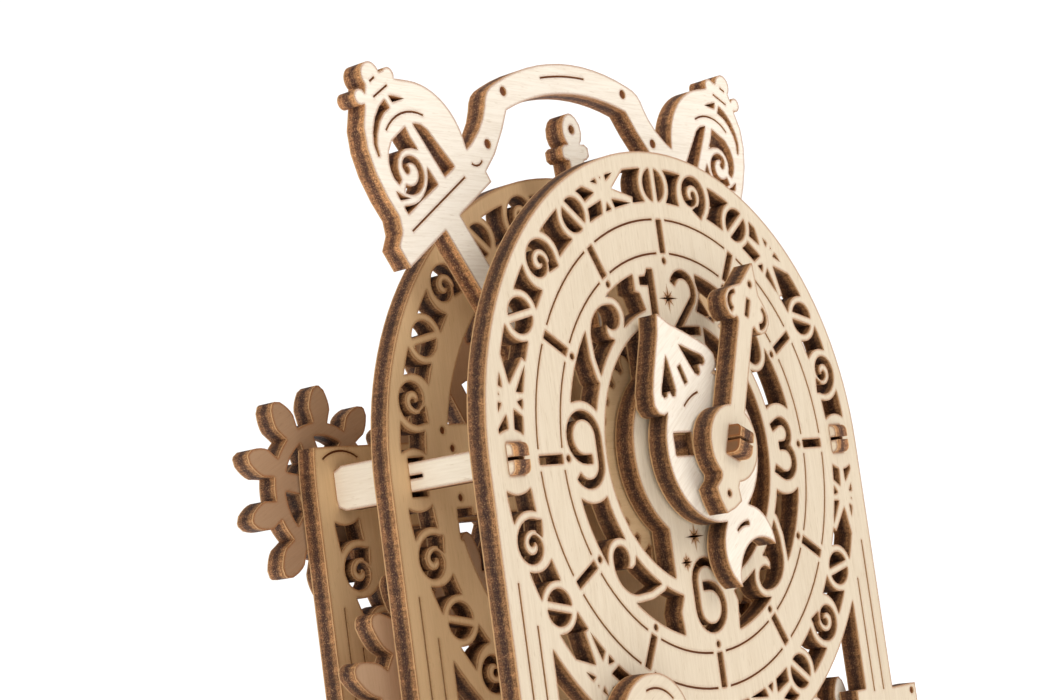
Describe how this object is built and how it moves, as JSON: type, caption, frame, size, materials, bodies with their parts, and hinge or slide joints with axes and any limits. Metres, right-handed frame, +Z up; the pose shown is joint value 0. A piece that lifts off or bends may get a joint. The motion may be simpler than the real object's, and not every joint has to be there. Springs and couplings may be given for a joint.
{
  "type": "twin-bell alarm clock wooden model",
  "caption": "Laser-cut plywood kit model of a twin-bell alarm clock: lace dial, two hands, rocking bells, working gear train and thumb wheel.",
  "frame": {"origin": "middle of the lower edge of the middle plate, on the surface the model stands on", "axes": "+Z up, +Y from the dial towards the back, +X to the right as seen from the front"},
  "size_m": [0.0968, 0.0498, 0.1219],
  "materials": {
    "front_ply": "laser-cut birch plywood, bare, upright grain, scorched edges",
    "hidden_ply": "laser-cut birch plywood, bare, a little darker, scorched edges",
    "bell_ply": "laser-cut birch plywood, bare, level grain, scorched edges",
    "hand_ply": "laser-cut birch plywood, bare, scorched edges",
    "wheel_ply": "laser-cut birch plywood, bare, scorched teeth",
    "strip_ply": "birch plywood strip seen on its face, plies at the cut ends",
    "dowel_wood": "round birch stick, sanded"
  },
  "bodies": {
    "frame": {"front_plate": "front_ply", "middle_plate": "hidden_ply", "rear_plate": "hidden_ply", "left_spacer_bar": "strip_ply", "right_spacer_bar": "strip_ply", "left_base_rail": "strip_ply", "right_base_rail": "strip_ply", "thumb_wheel_collar": "hidden_ply"},
    "minute_train": {"minute_axle": "strip_ply", "minute_hand": "hand_ply", "minute_pinion": "hidden_ply", "centre_pinion": "wheel_ply", "rear_gear": "wheel_ply", "rear_collar": "hidden_ply"},
    "hour_train": {"hour_hand": "hand_ply", "hour_wheel": "hidden_ply", "left_hour_tenon": "strip_ply", "right_hour_tenon": "strip_ply"},
    "motion_train": {"intermediate_axle": "dowel_wood", "intermediate_wheel": "hidden_ply", "intermediate_pinion": "hidden_ply", "rocker_cam": "hidden_ply"},
    "winding_train": {"winding_axle": "strip_ply", "winding_gear": "wheel_ply", "winding_knob": "front_ply"},
    "thumb_wheel": {"thumb_wheel": "wheel_ply"},
    "corner_train": {"corner_wheel": "wheel_ply", "corner_axle": "dowel_wood"},
    "bell_rocker": {"bell_plate": "bell_ply"}
  },
  "joints": [
    {"name": "minute_spin", "type": "hinge", "parent": "frame", "child": "minute_train", "pos_m": [0, 0, 0.0645], "axis": [0, 1, 0], "continuous": true},
    {"name": "hour_spin", "type": "hinge", "parent": "frame", "child": "hour_train", "pos_m": [0, 0, 0.0645], "axis": [0, 1, 0], "continuous": true},
    {"name": "motion_spin", "type": "hinge", "parent": "frame", "child": "motion_train", "pos_m": [0.01785, 0, 0.058], "axis": [0, 1, 0], "continuous": true},
    {"name": "winding_spin", "type": "hinge", "parent": "frame", "child": "winding_train", "pos_m": [-0.0198, 0, 0.0295], "axis": [0, 1, 0], "continuous": true},
    {"name": "thumb_spin", "type": "hinge", "parent": "frame", "child": "thumb_wheel", "pos_m": [-0.036, 0, 0.0655], "axis": [0, 1, 0], "continuous": true},
    {"name": "corner_spin", "type": "hinge", "parent": "frame", "child": "corner_train", "pos_m": [0.032, 0, 0.0185], "axis": [0, 1, 0], "continuous": true},
    {"name": "bell_rock", "type": "hinge", "parent": "frame", "child": "bell_rocker", "pos_m": [0, 0, 0.0645], "axis": [0, 1, 0], "range_deg": [-0.7, 8.3]}
  ],
  "couplings": [
    {"joint": "hour_spin", "follows": "minute_spin", "ratio": 0.083333},
    {"joint": "motion_spin", "follows": "minute_spin", "ratio": -0.33333},
    {"joint": "winding_spin", "follows": "minute_spin", "ratio": -0.5},
    {"joint": "thumb_spin", "follows": "minute_spin", "ratio": -2}
  ]
}
